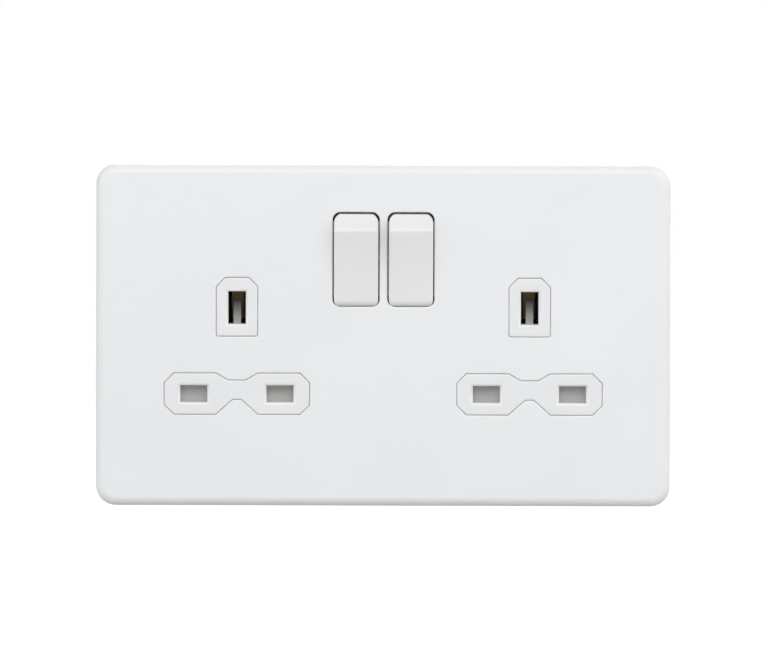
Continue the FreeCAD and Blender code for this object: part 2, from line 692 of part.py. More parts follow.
# Shallow pockets with ribs between them, round the back where the housing leaves it bare
def core_pockets():
    pockets = []
    outer = "(plate_width / 2 - table_inset - core_margin)"
    inner = "(case_width / 2 + core_margin)"
    foot = "(-plate_height / 2 + table_inset + core_margin)"
    shelf = "(case_low - core_margin)"
    lug = "(eyelet_radius + core_margin)"
    step = "((plate_height / 2 - table_inset - core_margin - %s) / %d)" % (lug, CORE_ROWS)
    for side, name in SIDES:
        for row in range(CORE_ROWS):
            low = "(%s + %d * %s)" % (lug, row, step)
            high = "(%s + %s - core_rib)" % (low, step)
            for way in (-1, 1):
                ends = ("%d * %s" % (side, inner), "%d * %s" % (side, outer))
                rows = ("%d * %s" % (way, low), "%d * %s" % (way, high))
                pockets.append(box(*(ends if side > 0 else ends[::-1]),
                                   *(rows if way > 0 else rows[::-1])))
    cell = "(%s / %d)" % (inner, CORE_CELLS)
    for column in range(-CORE_CELLS, CORE_CELLS):
        left = "(%d * %s + core_rib / 2)" % (column, cell)
        pockets.append(box(left, "(%s + %s - core_rib)" % (left, cell), foot, shelf))
    return pockets


# An insert's outline: wide round the two-lobed island, narrow round the earth island
def insert_outline(side, grow):
    x = socket_x(side)
    half = "(pin_island_width / 2 + insert_edge + %s)" % grow
    neck = "(fence_neck + fence_wall + %s)" % grow
    foot = "(%s - return_length - seat_gap - fence_wall - (%s))" % (SHUTTER_FOOT, grow)
    shoulder = "(%s + pin_island_height / 2 + insert_edge + %s)" % (PIN_ROW, grow)
    top = "(earth_height + earth_island_above + insert_edge + %s)" % grow
    return tee(x, half, neck, foot, shoulder, top)


# A T standing on its head: wide from the foot to the shoulder, narrow from there to the top
def tee(x, half, neck, foot, shoulder, top):
    return [
        (plus(x, "-" + half), foot),
        (plus(x, half), foot),
        (plus(x, half), shoulder),
        (plus(x, neck), shoulder),
        (plus(x, neck), top),
        (plus(x, "-" + neck), top),
        (plus(x, "-" + neck), shoulder),
        (plus(x, "-" + half), shoulder),
    ]


# The moulding of one outlet: islands, apertures, shutter chamber and the fence behind it
def outlet_insert(side, name):
    piece = Piece("outlet_insert_" + name)
    x = socket_x(side)
    piece.pad("flange", [insert_outline(side, "0")], "-flange_thick", "0")
    piece.pad("plate", [insert_outline(side, "-insert_lip")], TABLE_FRONT, "-flange_thick / 2")
    piece.pad("islands", [earth_island(side, "0"), pin_island(side, "0")],
              ISLAND_FRONT, "%s + cover_sheet" % INNER_FACE)
    piece.pad("fence", [fence_outline(side, "fence_wall")], "-flange_thick / 2", "fence_rear")
    piece.cut("fence_inside", [fence_outline(side, "0")], "0", "fence_rear")
    piece.cut("chamber", [chamber_outline(side)], CHAMBER_FRONT, "0")
    piece.pad("stakes", [
        disc(plus(x, "%d * stake_x" % place), "stake_height", "stake_radius")
        for place in (-1, 1)], "-flange_thick / 2", "fence_rear + seat_gap")
    piece.cut("apertures", pin_slots(side), ISLAND_FRONT, "0")
    rims = [inside(x, "earth_height", "earth_slot_width / 2", "earth_slot_height / 2")]
    for place in (-1, 1):
        rims.append(inside(
            jaw_x(side, place), PIN_ROW, "pin_slot_width / 2", "pin_slot_height / 2"))
    piece.round("lead_ins", both(at_level("y", ISLAND_FRONT), either(*rims)), "lead_in")


# The fence round a shutter: wide round the flag, narrow above, and grown by a wall
def fence_outline(side, wall):
    x = socket_x(side)
    half = "(shutter_half + fence_room + %s)" % wall
    neck = "(fence_neck + %s)" % wall
    foot = "(%s - return_length - seat_gap - %s)" % (SHUTTER_FOOT, wall)
    shoulder = "(%s + fence_room + %s)" % (SHUTTER_TOP, wall)
    return tee(x, half, neck, foot, shoulder, "(fence_top + %s)" % wall)


SHUTTER_FOOT = "(%s - pin_slot_height / 2 - shutter_over)" % PIN_ROW
SHUTTER_TOP = "(%s + pin_slot_height / 2 + shutter_over)" % PIN_ROW
EARTH_FOOT = "(earth_height - earth_slot_height / 2)"
EARTH_TOP = "(earth_height + earth_slot_height / 2)"


def chamber_outline(side):
    x = socket_x(side)
    half = "(shutter_half + shutter_play)"
    stem = "(stem_half + shutter_play)"
    groove = "(return_radius + shutter_play)"
    foot = "(%s - shutter_travel - shutter_play)" % SHUTTER_FOOT
    spring_foot = "(%s - return_length)" % SHUTTER_FOOT
    shoulder = "(%s + shutter_play)" % SHUTTER_TOP
    top = "(%s + shutter_play)" % EARTH_TOP
    return [
        (plus(x, "-" + half), foot),
        (plus(x, "-" + groove), foot),
        (plus(x, "-" + groove), spring_foot),
        (plus(x, groove), spring_foot),
        (plus(x, groove), foot),
        (plus(x, half), foot),
        (plus(x, half), shoulder),
        (plus(x, stem), shoulder),
        (plus(x, stem), top),
        (plus(x, "-" + stem), top),
        (plus(x, "-" + stem), shoulder),
        (plus(x, "-" + half), shoulder),
    ]


def shutter(side, name):
    piece = Piece("shutter_" + name)
    x = socket_x(side)
    front = "-shutter_front"
    flag = box(plus(x, "-shutter_half"), plus(x, "shutter_half"), SHUTTER_FOOT, SHUTTER_TOP)
    stem = box(plus(x, "-stem_half"), plus(x, "stem_half"), SHUTTER_TOP, EARTH_FOOT)
    piece.pad("flag", [flag], front, "shutter_rear")
    piece.pad("stem", [stem], front, "shutter_rear")
    rise = "(ramp_reach + shutter_front)"
    ramp = [
        (front, EARTH_FOOT),
        (front, "%s - stem_half" % EARTH_FOOT),
        ("shutter_rear", "%s - stem_half" % EARTH_FOOT),
        ("ramp_reach", "%s + %s / 2" % (EARTH_FOOT, rise)),
        ("ramp_reach", "%s + %s" % (EARTH_FOOT, rise)),
    ]
    piece.pad("ramp", [ramp], plus(x, "-ramp_width / 2"), plus(x, "ramp_width / 2"), "YZ")
    middle = "((shutter_rear - shutter_front) / 2)"
    piece.pad("spigot", [disc(x, middle, "spigot")],
              "%s - spigot_length" % SHUTTER_FOOT, "%s + shutter_over" % SHUTTER_FOOT, "XY")


def shutter_spring(side, name):
    piece = Piece("shutter_spring_" + name)
    length = "(return_length - spring_wire - seat_gap)"
    radius = "(return_radius - spring_wire / 2)"
    piece.coil("coil", disc(radius, "0", "spring_wire / 2"), "XZ", "V_Axis", length, "return_turns")
    piece.place(socket_x(side), "(shutter_rear - shutter_front) / 2",
                "%s - return_length + (spring_wire + seat_gap) / 2" % SHUTTER_FOOT)


def shutter_retainer(side, name):
    piece = Piece("shutter_retainer_" + name)
    x = socket_x(side)
    piece.pad("plate", [fence_outline(side, "-seat_gap")], "retainer_front", "fence_rear")
    holes = []
    for place in (-1, 1):
        holes.append(box_at(
            jaw_x(side, place), PIN_ROW, "pin_slot_width / 2", "pin_slot_height / 2"))
        holes.append(disc(
            plus(x, "%d * stake_x" % place), "stake_height", "stake_radius + seat_gap"))
    slot = "(earth_slot_width / 2)"
    foot = "(%s - stem_half - shutter_travel - shutter_play)" % EARTH_FOOT
    holes.append(box(plus(x, "-" + slot), plus(x, slot), foot, EARTH_TOP))
    piece.cut("pin_holes", holes, "retainer_front", "fence_rear")


def rocker(side, name):
    piece = Piece("rocker_" + name)
    reach, toe = "rocker_reach", "toe_reach"
    half = "rocker_width / 2"

    # Height on an end's radius at a distance ahead of or behind the pivot
    def on_end(distance, radius):
        return "sqrt(%s ^ 2 - (%s) ^ 2)" % (radius, distance)

    back = "(rocker_toe - toe_back)"
    profile = [
        ("-rocker_lip", on_end("rocker_lip", reach)),
        ("-rocker_crest", "crest_height", "rocker_dish", -1),
        ("-rocker_toe", "-%s + toe_up" % on_end("rocker_toe", toe), "rocker_toe_round", 1),
        ("-" + back, "-" + on_end(back, toe), toe, 1),
        ("rocker_heel", "-" + on_end("rocker_heel", toe)),
        ("rocker_skirt", on_end("rocker_skirt", reach)),
    ]
    piece.pad("shell", [profile], "-" + half, half, "YZ")
    piece.round("crest", both(along("x"), ahead_of("-rocker_toe")), "crest_round")
    piece.bevel("soft_sides", both(
        either(at_level("x", half), at_level("x", "-" + half)),
        ahead_of("-rocker_lip - rocker_edge")), "rocker_edge")
    footprint = rounded("0", "0", half, reach, "rocker_corner")
    around = box_at("0", "0", half + " + rocker_wall", toe + " + rocker_wall")
    piece.cut("corners", [around, footprint], "-rocker_crest - rocker_wall", "rocker_heel")
    end = "(rocker_reach - end_wall)"
    hollow = [
        ("-rocker_lip + rocker_wall", end),
        ("-rocker_crest + face_wall", "crest_height"),
        ("-rocker_toe + face_wall", "-" + end),
        ("rocker_heel + rocker_wall", "-" + end),
        ("rocker_heel + rocker_wall", end),
    ]
    wall = "(%s - rocker_wall)" % half
    piece.cut("inside", [hollow], "-" + wall, wall, "YZ")
    barrels = [disc("%d * pole_offset" % place, "0", "barrel_radius") for place in (-1, 1)]
    piece.pad("barrels", barrels, "-barrel_seat - rocker_wall / 2", "barrel_end")
    bores = [disc("%d * pole_offset" % place, "0", "barrel_bore") for place in (-1, 1)]
    piece.cut("bores", bores, "-barrel_seat", "barrel_end")
    stub = "(%s + trunnion_length)" % half
    root = "(%s - rocker_wall / 2)" % half
    piece.pad("trunnion_right", [disc("0", "0", "trunnion")], root, stub, "YZ")
    piece.pad("trunnion_left", [disc("0", "0", "trunnion")], "-" + stub, "-" + root, "YZ")
    # Lips behind the cover, so that the gap beside the rocker doesn't show the contacts
    lips = [
        box("lip_front", "lip_front + lip_thick", "lip_start", "lip_end"),
        box("lip_front", "lip_front + lip_thick", "-lip_end", "-lip_start")]
    edge = "(%s + lip_proud)" % half
    piece.pad("lips_right", lips, root, edge, "YZ")
    piece.pad("lips_left", lips, "-" + edge, "-" + root, "YZ")
    piece.place(rocker_x(side), PIVOT_Y, "rocker_height", "rocker_tilt")


def plunger(side, place, name):
    piece = Piece("plunger_" + name)
    collar = "plunger_collar"
    shaft = "plunger_radius"
    spigot = "(barrel_bore - spring_wire * 2)"
    profile = [
        ("0", "collar_start - rocker_wall"),
        (spigot + " / 2", "collar_start - rocker_wall"),
        (spigot + " / 2", "collar_start"),
        (collar, "collar_start"),
        (collar, "collar_end"),
        (shaft, "collar_end"),
        (shaft, "plunger_tip - plunger_radius", shaft, 1),
        ("0", "plunger_tip"),
    ]
    piece.spin("turned", profile, "XY", "V_Axis")
    piece.place(pole_x(side, place), PIVOT_Y, "rocker_height", "rocker_tilt")


def plunger_spring(side, place, name):
    piece = Piece("plunger_spring_" + name)
    radius = "(barrel_bore - spring_wire)"
    start = "(-barrel_seat + spring_wire / 2 + seat_gap / 2)"
    length = "(collar_start + barrel_seat - spring_wire - seat_gap)"
    piece.coil("coil", disc(radius, start, "spring_wire / 2"), "XY", "V_Axis", length, "push_turns")
    piece.place(pole_x(side, place), PIVOT_Y, "rocker_height", "rocker_tilt")


def moving_contact(side, place, name):
    piece = Piece("moving_contact_" + name)
    rear = "(-blade_pivot + blade_thick)"
    piece.pad("blade", [box_at("0", "0", "blade_width / 2", "blade_half")], "-blade_pivot", rear)
    piece.round("blade_ends", along("y"), "blade_round")
    piece.pad("knuckle", [disc("0", "0", "blade_knuckle")],
              "-blade_width / 2", "blade_width / 2", "YZ")
    piece.pad("rivet", [disc("0", "rivet_reach", "rivet_radius")],
              "-blade_pivot + blade_thick / 2", "%s + rivet_proud" % rear)
    piece.place(pole_x(side, place), BLADE_Y, "rocker_height", "-blade_tilt")


# A jaw that grips a pin across its thin way: a U of leaf with a flared mouth
def jaw_profile(centre, mouth, base):
    inner = "jaw_half"
    outer = "(jaw_half + jaw_leaf)"
    flare = "jaw_flare"
    corners = [
        ("%s" % base, "-" + outer),
        ("%s" % base, outer),
        ("%s + 2 * jaw_flare" % mouth, outer),
        (mouth, "%s + %s" % (outer, flare)),
        (mouth, "%s + %s" % (inner, flare)),
        ("%s + 2 * jaw_flare" % mouth, inner),
        ("%s - strip_thick" % base, inner),
        ("%s - strip_thick" % base, "-" + inner),
        ("%s + 2 * jaw_flare" % mouth, "-" + inner),
        (mouth, "-(%s + %s)" % (inner, flare)),
        (mouth, "-(%s + %s)" % (outer, flare)),
        ("%s + 2 * jaw_flare" % mouth, "-" + outer),
    ]
    return [(along_y, plus(centre, across)) for along_y, across in corners]


def fixed_contact(side, place, name):
    piece = Piece("fixed_contact_" + name)
    jaw = jaw_x(side, place)
    pole = pole_x(side, place)
    piece.pad("jaw", [jaw_profile(PIN_ROW, "jaw_mouth", STRIP_REAR)],
              plus(jaw, "-jaw_width / 2"), plus(jaw, "jaw_width / 2"), "YZ")
    if place > 0:
        # Out along the top, down a slant and straight down to the jaw
        bend_x = plus(pole, "%d * outer_bend" % side)
        route = [
            (pole, CONTACT_Z),
            (bend_x, CONTACT_Z),
            (jaw, "outer_turn"),
            (jaw, PIN_ROW),
        ]
    else:
        # Across to the gap between two cradle posts, down through it and out to the jaw
        route = [
            (pole, CONTACT_Z),
            (rocker_x(side), CONTACT_Z),
            (rocker_x(side), "inner_turn"),
            (jaw, "%s + inner_run" % PIN_ROW),
            (jaw, PIN_ROW),
        ]
    half = "(strip_width / 2)" if place > 0 else "(inner_strip / 2)"
    for index in range(len(route) - 1):
        piece.pad("strip_%d" % (index + 1), [strip_leg(route[index], route[index + 1], half)],
                  "strip_front", STRIP_REAR)
    piece.pad("rivet", [disc(pole, CONTACT_Z, "rivet_radius")],
              CONTACT_Y, "strip_front + strip_thick / 2")
    piece.bevel("rivet_edge", both(at_level("y", CONTACT_Y), round_edge), "rivet_proud / 2")


# A straight leg of strip between two places, run on by half its width at each end
def strip_leg(first, second, half):
    run_a = "((%s) - (%s))" % (second[0], first[0])
    run_b = "((%s) - (%s))" % (second[1], first[1])
    size_a, size_b = value(run_a), value(run_b)
    if abs(size_a) < CLOSE or abs(size_b) < CLOSE:
        flat = abs(size_b) < CLOSE
        low, high = (first, second) if size_a + size_b > 0 else (second, first)
        if flat:
            return box(plus(low[0], "-" + half), plus(high[0], half),
                       plus(low[1], "-" + half), plus(low[1], half))
        return box(plus(low[0], "-" + half), plus(low[0], half),
                   plus(low[1], "-" + half), plus(high[1], half))
    length = "sqrt(%s ^ 2 + %s ^ 2)" % (run_a, run_b)
    across_a = "(%s * %s / %s)" % (half, run_b, length)
    across_b = "(%s * %s / %s)" % (half, run_a, length)
    return [
        ("%s + %s" % (first[0], across_a), "%s - %s" % (first[1], across_b)),
        ("%s + %s" % (second[0], across_a), "%s - %s" % (second[1], across_b)),
        ("%s - %s" % (second[0], across_a), "%s + %s" % (second[1], across_b)),
        ("%s - %s" % (first[0], across_a), "%s + %s" % (first[1], across_b)),
    ]


# A supply bar: a crosspiece, a riser to its terminal and a cradle post at each of its poles
def supply_bar(name, height, poles, riser):
    piece = Piece(name)
    side = 1 if value(riser) > 0 else -1
    far = poles[0] if side > 0 else poles[1]
    low, high = (plus(far, "-post_width / 2"), plus(riser, "riser_width / 2"))
    if side < 0:
        low, high = (plus(riser, "-riser_width / 2"), plus(far, "post_width / 2"))
    half = "bus_width / 2"
    piece.pad("crosspiece", [box(low, high, plus(height, "-" + half), plus(height, half))],
              "bus_front", BUS_REAR)
    piece.pad("riser", [box(
        plus(riser, "-riser_width / 2"), plus(riser, "riser_width / 2"),
        "terminal_top - tongue", plus(height, half))], "bus_front", BUS_REAR)
    above = value(height) > value("rocker_height")
    for index, pole in enumerate(poles):
        foot, top = ("rocker_height - post_height / 2", height)
        if not above:
            foot, top = (height, "rocker_height + post_height / 2")
        piece.pad("tab_%d" % (index + 1), [box(
            plus(pole, "-post_width / 2"), plus(pole, "post_width / 2"), foot, top)],
            "bus_front", BUS_REAR)
        piece.pad("post_%d" % (index + 1), [box_at(
            pole, "rocker_height", "post_width / 2", "post_height / 2")],
            BLADE_Y, "bus_front + strip_thick / 2")
    piece.cut("cradles", [disc(BLADE_Y, "rocker_height", "blade_knuckle + cradle_play")],
              plus(poles[0], "-post_width"), plus(poles[1], "post_width"), "YZ")


def earth_bar():
    piece = Piece("earth_bar")
    half = "earth_bar_width / 2"
    end = "(strap_leg_x - strap_width)"
    piece.pad("crosspiece", [box(
        "-" + end, end, "earth_height - " + half, "earth_height + " + half)],
        "earth_bar_front", EARTH_REAR)
    piece.pad("leg", [box(
        "-earth_leg_width / 2", "earth_leg_width / 2", "terminal_low", "earth_height")],
        "earth_bar_front", EARTH_REAR)
    for side, name in SIDES:
        low, high = ("strap_leg_x - 2 * strap_width", end)
        if side < 0:
            low, high = ("-" + end, "-strap_leg_x + 2 * strap_width")
        piece.pad("strap_tab_" + name, [box(low, high, "-strap_width / 2", "earth_height")],
                  "earth_bar_front", EARTH_REAR)
        x = socket_x(side)
        corners = [(across, along_y) for along_y, across in jaw_profile(
            x, "earth_jaw_mouth", EARTH_REAR)]
        piece.pad("jaw_" + name, [corners], "earth_height - earth_jaw_height / 2",
                  "earth_height + earth_jaw_height / 2", "XY")
    holes = [disc("%d * earth_terminal_x" % side, TERMINAL_Z, "terminal_screw + screw_play")
             for side, name in SIDES]
    holes.append(disc("0", "case_screw_low", "column_radius + seat_gap * 2"))
    piece.cut("screw_holes", holes, "earth_bar_front", EARTH_REAR)


TERMINAL_Z = "((terminal_low + terminal_top) / 2)"


# A drilled brass block whose rear face is at the given level
def terminal(name, x, rear, tongue):
    piece = Piece(name)
    front = "(%s - terminal_depth)" % rear
    piece.pad("block", [box(
        plus(x, "-terminal_width / 2"), plus(x, "terminal_width / 2"),
        "terminal_low", "terminal_top")], front, rear)
    piece.bevel("broken_edges", along("z"), "block_bevel")
    piece.cut("cable_bore", [disc(x, "%s + cable_margin" % front, "cable_bore")],
              "terminal_low", "terminal_top", "XY")
    piece.cut("screw_hole", [disc(x, TERMINAL_Z, "terminal_screw + screw_play")],
              "%s + cable_margin" % front, rear)
    if tongue:
        half = "(riser_width / 2 + seat_gap)"
        slot = box(plus(x, "-" + half), plus(x, half),
                   "terminal_top - tongue - seat_gap", "terminal_top")
        piece.cut("tongue_slot", [slot], "bus_front - seat_gap", "%s + seat_gap" % BUS_REAR)


LIVE_REAR = "(bus_front + strip_thick * 2)"


def terminals():
    terminal("neutral_terminal", "-terminal_x", LIVE_REAR, True)
    terminal("line_terminal", "terminal_x", LIVE_REAR, True)
    for side, name in SIDES:
        terminal("earth_terminal_" + name, "%d * earth_terminal_x" % side,
                 "earth_bar_front", False)


TERMINAL_PLACES = ("-terminal_x", "-earth_terminal_x", "earth_terminal_x", "terminal_x")


def terminal_screws():
    piece = Piece("terminal_screws")
    bore_rear = "earth_bar_front - terminal_depth + cable_margin + cable_bore"
    piece.pad("shanks", [disc(x, TERMINAL_Z, "terminal_screw") for x in TERMINAL_PLACES],
              bore_rear + " + screw_lift", "terminal_screw_end")
    slots = [box_at(x, TERMINAL_Z, "terminal_screw + screw_play", "driver_slot")
             for x in TERMINAL_PLACES]
    piece.cut("driver_slots", slots, "terminal_screw_end - slot_depth", "terminal_screw_end")


def case_screw_places():
    return [
        ("-case_screw_x", "case_screw_top"),
        ("case_screw_x", "case_screw_top"),
        ("0", "case_screw_low"),
    ]


def case_screws():
    piece = Piece("case_screws")
    places = case_screw_places()
    rear = "(case_depth - seat_gap)"
    piece.pad("heads", [disc(x, z, "case_screw_head") for x, z in places], FLOOR, rear)
    piece.pad("shanks", [disc(x, z, "case_screw") for x, z in places],
              "-case_screw_grip", FLOOR + " + case_floor / 2")
    slots = [box_at(x, z, "case_screw_head + screw_play", "driver_slot") for x, z in places]
    piece.cut("driver_slots", slots, rear + " - slot_depth", rear)


def wall_screws():
    piece = Piece("wall_screws")
    places = fixing_places()
    head_front = "(%s + seat_gap)" % TABLE_FRONT
    cone = "(fixing_head - fixing_shank)"
    piece.pad("heads", [disc(x, "0", "fixing_head") for x in places],
              head_front, "%s + %s" % (head_front, cone))
    piece.bevel("cones", both(
        at_level("y", "%s + %s" % (head_front, cone)), round_edge), cone + NEARLY)
    piece.pad("shanks", [disc(x, "0", "fixing_shank") for x in places],
              head_front + " + seat_gap", "0")
    piece.pad("threads", [disc(x, "0", "fixing_radius") for x in places], "0", "fixing_length")
    slots = [box_at(x, "0", "fixing_head + screw_play", "fixing_slot") for x in places]
    piece.cut("driver_slots", slots, head_front, head_front + " + slot_depth")


def earth_strap(side, name):
    piece = Piece("earth_strap_" + name)
    hole_x = "(%d * fixing_spacing / 2)" % side
    leg = "%d * strap_leg_x" % side
    out = "%d * (strap_leg_x + strip_thick)" % side
    half = "strap_width / 2"

    def span(first, second):
        return (first, second) if side > 0 else (second, first)

    piece.pad("eyelet", [disc(hole_x, "0", "eyelet_radius")], "-strip_thick", "0")
    piece.pad("arm", [box(*span(leg, hole_x), "-" + half, half)], "-strip_thick", "0")
    piece.pad("leg", [box(*span(leg, out), "-" + half, half)], "-strip_thick", "earth_bar_front")
    foot = "%d * (strap_leg_x - 2 * strap_width)" % side
    piece.pad("foot", [box(*span(foot, out), "-" + half, half)],
              "earth_bar_front - strip_thick", "earth_bar_front")
    piece.cut("hole", [disc(hole_x, "0", "fixing_radius + screw_play")], "-strip_thick", "0")


# Outline of the rear housing, stepped in for the wall box lugs and shrunk by a wall
def case_outline(wall):
    side = "(case_width / 2 - %s)" % wall
    notch = "(case_width / 2 - lug_depth - %s)" % wall
    lug = "(lug_half + %s)" % wall
    foot = "case_low + %s" % wall
    top = "case_top - %s" % wall
    return [
        ("-" + side, foot),
        (side, foot),
        (side, "-" + lug),
        (notch, "-" + lug),
        (notch, lug),
        (side, lug),
        (side, top),
        ("-" + side, top),
        ("-" + side, lug),
        ("-" + notch, lug),
        ("-" + notch, "-" + lug),
        ("-" + side, "-" + lug),
    ]


def rear_housing():
    piece = Piece("rear_housing")
    piece.pad("blank", [case_outline("0")], "0", "case_depth")
    corner = both(along("y"), lambda edge: abs(edge.CenterOfMass.z) > value("lug_half") + CLOSE)
    piece.round("corners", corner, "case_corner")
    piece.cut("inside", [case_outline("case_wall")], "0", FLOOR)
    piece.pad("columns", [disc(x, z, "column_radius") for x, z in case_screw_places()],
              "seat_gap", FLOOR + " + case_floor / 2")
    piece.cut("column_bores", [disc(x, z, "case_screw + screw_play")
                               for x, z in case_screw_places()], "0", "case_depth")
    piece.cut("head_seats", [disc(x, z, "case_screw_head + screw_play")
                             for x, z in case_screw_places()],
              FLOOR + " - seat_gap", "case_depth")
    piece.cut("screw_access", [disc(x, TERMINAL_Z, "access_radius") for x in TERMINAL_PLACES],
              FLOOR, "case_depth")
    live = "%s - terminal_depth + cable_margin" % LIVE_REAR
    earth = "earth_bar_front - terminal_depth + cable_margin"
    entries = [disc(x, earth if "earth" in x else live, "cable_entry") for x in TERMINAL_PLACES]
    piece.cut("cable_entries", entries, "case_low", "case_low + case_wall", "XY")


# The frame on the housing's floor that carries the metalwork and closes the trunnion slots
def contact_carrier():
    piece = Piece("contact_carrier")
    piece.pad("plate", [case_outline("(case_wall + seat_gap * 2)")], CARRIER, FLOOR + " - seat_gap")
    for index, (places, level) in enumerate(support_places()):
        piece.pad("pillars_%d" % (index + 1), [disc(x, z, "pillar") for x, z in places],
                  "%s + seat_gap" % level, CARRIER_ROOT)
    walls = [box_at("%d * (terminal_x + earth_terminal_x) / 2" % side, TERMINAL_Z, "barrier / 2",
                    "(terminal_top - terminal_low) / 2") for side, name in SIDES]
    piece.pad("terminal_barriers", walls, "barrier_front", CARRIER_ROOT)
    bars = "(bus_width / 2 + seat_gap)"
    piece.pad("pole_barrier", [box(
        "-barrier / 2", "barrier / 2",
        "neutral_bar_height + " + bars, "line_bar_height - " + bars)], "seat_gap", CARRIER_ROOT)
    for side, name in SIDES:
        trunnion_stops(piece, side, name)
    piece.cut("column_holes", [disc(x, z, "column_radius + seat_gap * 2")
                               for x, z in case_screw_places()], CARRIER, FLOOR)
    piece.cut("screw_access", [disc(x, TERMINAL_Z, "access_radius") for x in TERMINAL_PLACES],
              CARRIER, FLOOR)


# Places where pillars stand under the metalwork, with the level that each group reaches
def support_places():
    strips = []
    buses = []
    for side, name in SIDES:
        strips.append((jaw_x(side, 1), PIN_ROW))
        strips.append((jaw_x(side, -1), PIN_ROW))
        strips.append((jaw_x(side, 1), "strip_pillar"))
        buses.append(("%d * terminal_x" % side, "(terminal_top + riser_pillar)"))
    buses.append(("0", "line_bar_height"))
    buses.append(("0", "neutral_bar_height"))
    buses.append(("terminal_x", "line_bar_height"))
    buses.append(("-terminal_x", "neutral_bar_height"))
    return ((strips, STRIP_REAR), (buses, BUS_REAR))


# Fingers that close the trunnion slots from behind, on ribs that stand on the carrier's plate
def trunnion_stops(piece, side, name):
    x = rocker_x(side)
    low = "(rocker_width / 2 + seat_gap)"
    high = "(rocker_width / 2 + trunnion_length)"
    rear = "%s + trunnion + seat_gap" % PIVOT_Y
    fingers = []
    for place in (-1, 1):
        ends = [plus(x, "%d * %s" % (place, low)), plus(x, "%d * %s" % (place, high))]
        if place < 0:
            ends.reverse()
        fingers.append(box(*ends, "rocker_height - trunnion", "rocker_height + trunnion"))
    piece.pad("trunnion_stops_" + name, fingers, rear, CARRIER_ROOT)


def build():
    cover_plate()
    socket_front()
    rear_housing()
    contact_carrier()
    for side, name in SIDES:
        outlet_insert(side, name)
        rocker(side, name)
        shutter(side, name)
        shutter_spring(side, name)
        shutter_retainer(side, name)
        earth_strap(side, name)
        outer, inner = ("neutral", "line") if side < 0 else ("line", "neutral")
        for place, pole in ((1, outer), (-1, inner)):
            label = "%s_%s" % (name, pole)
            plunger(side, place, label)
            plunger_spring(side, place, label)
            moving_contact(side, place, label)
            fixed_contact(side, place, label)
    # Poles left to right: neutral, line, neutral, line
    supply_bar("line_busbar", "line_bar_height", (pole_x(-1, -1), pole_x(1, 1)), "terminal_x")
    supply_bar(
        "neutral_busbar", "neutral_bar_height", (pole_x(-1, 1), pole_x(1, -1)), "-terminal_x")
    earth_bar()
    terminals()
    terminal_screws()
    case_screws()
    wall_screws()


def check():
    for item in doc.Objects:
        if "Invalid" in item.State or "Error" in item.State:
            raise ValueError("%s is not valid" % item.Label)
    for body in pieces:
        if body.Shape.isNull() or not body.Shape.isValid():
            raise ValueError("%s has no valid shape" % body.Label)


def write():
    os.makedirs("parts", exist_ok=True)
    for body in pieces:
        body.Shape.exportStep("parts/%s.step" % body.Label)
        bounds = body.Shape.BoundBox
        print("%-28s %d solid(s) %9.1f mm3  x %.2f..%.2f  y %.2f..%.2f  z %.2f..%.2f" % (
            body.Label, len(body.Shape.Solids), body.Shape.Volume, bounds.XMin, bounds.XMax,
            bounds.YMin, bounds.YMax, bounds.ZMin, bounds.ZMax))


build()
check()
write()
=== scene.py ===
import json
import math

import bmesh
import bpy
from mathutils import Matrix, Vector


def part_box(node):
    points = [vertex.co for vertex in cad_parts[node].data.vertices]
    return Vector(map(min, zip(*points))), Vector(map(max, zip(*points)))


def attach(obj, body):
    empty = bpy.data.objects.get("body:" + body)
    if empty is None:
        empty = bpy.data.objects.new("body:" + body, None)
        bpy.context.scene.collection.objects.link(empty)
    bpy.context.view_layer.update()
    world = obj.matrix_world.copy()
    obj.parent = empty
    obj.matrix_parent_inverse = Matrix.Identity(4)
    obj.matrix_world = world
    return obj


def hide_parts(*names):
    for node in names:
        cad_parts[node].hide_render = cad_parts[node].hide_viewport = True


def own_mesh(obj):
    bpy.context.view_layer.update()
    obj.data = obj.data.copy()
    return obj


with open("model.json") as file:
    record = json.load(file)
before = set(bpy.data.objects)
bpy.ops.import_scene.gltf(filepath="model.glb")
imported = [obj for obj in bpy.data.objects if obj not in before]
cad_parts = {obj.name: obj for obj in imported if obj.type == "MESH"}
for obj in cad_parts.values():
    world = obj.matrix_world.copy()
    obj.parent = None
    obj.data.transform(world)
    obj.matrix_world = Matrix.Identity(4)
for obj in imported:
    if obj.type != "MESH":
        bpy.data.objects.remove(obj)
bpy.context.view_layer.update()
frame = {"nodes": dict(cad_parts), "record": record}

print("frame loaded:", len(frame["nodes"]), "nodes")

nodes = frame["nodes"]
record = frame["record"]
slotOf = {entry["node"]: entry["material_slot"] for entry in record["subparts"]}
bodyOf = {
    node: body for body, members in record["behaviour"]["bodies"].items() for node in members}
millimetre = 0.001
photoSize = (768, 672)

# The view of the photograph: nearly straight on, from a little above
view = {
    "pixelsPerMetre": 3884.0,
    "distance": 3.0,
    "elevation": 2.4,          # degrees above level
    "roll": 0.165,             # degrees, the object leans clockwise
    "centre": (383.3, 335.7),  # pixel where the middle of the plate falls
    "sensor": 36.0,
}

# Soft light from above and a little to the right, over an even grey surround
light = {
    "direction": (0.2, -0.83, 0.54),
    "distance": 1.3,
    "width": 3.0,
    "height": 0.8,
    "power": 18.0,
    "surround": 0.2,
}

# Two weak soft lights, one at each side, for the plate's rolled ends
sideLights = {
    "left": {"direction": (-0.95, -0.32, 0.3), "power": 5.5},
    "right": {"direction": (0.95, -0.32, 0.3), "power": 3.5},
    "distance": 1.3,
    "size": 1.0,
}

# A soft light behind, which the photograph doesn't see, so that the back can be looked at
backLight = {
    "direction": (0.35, 0.8, 0.45),
    "distance": 1.3,
    "size": 1.4,
    "power": 14.0,
}

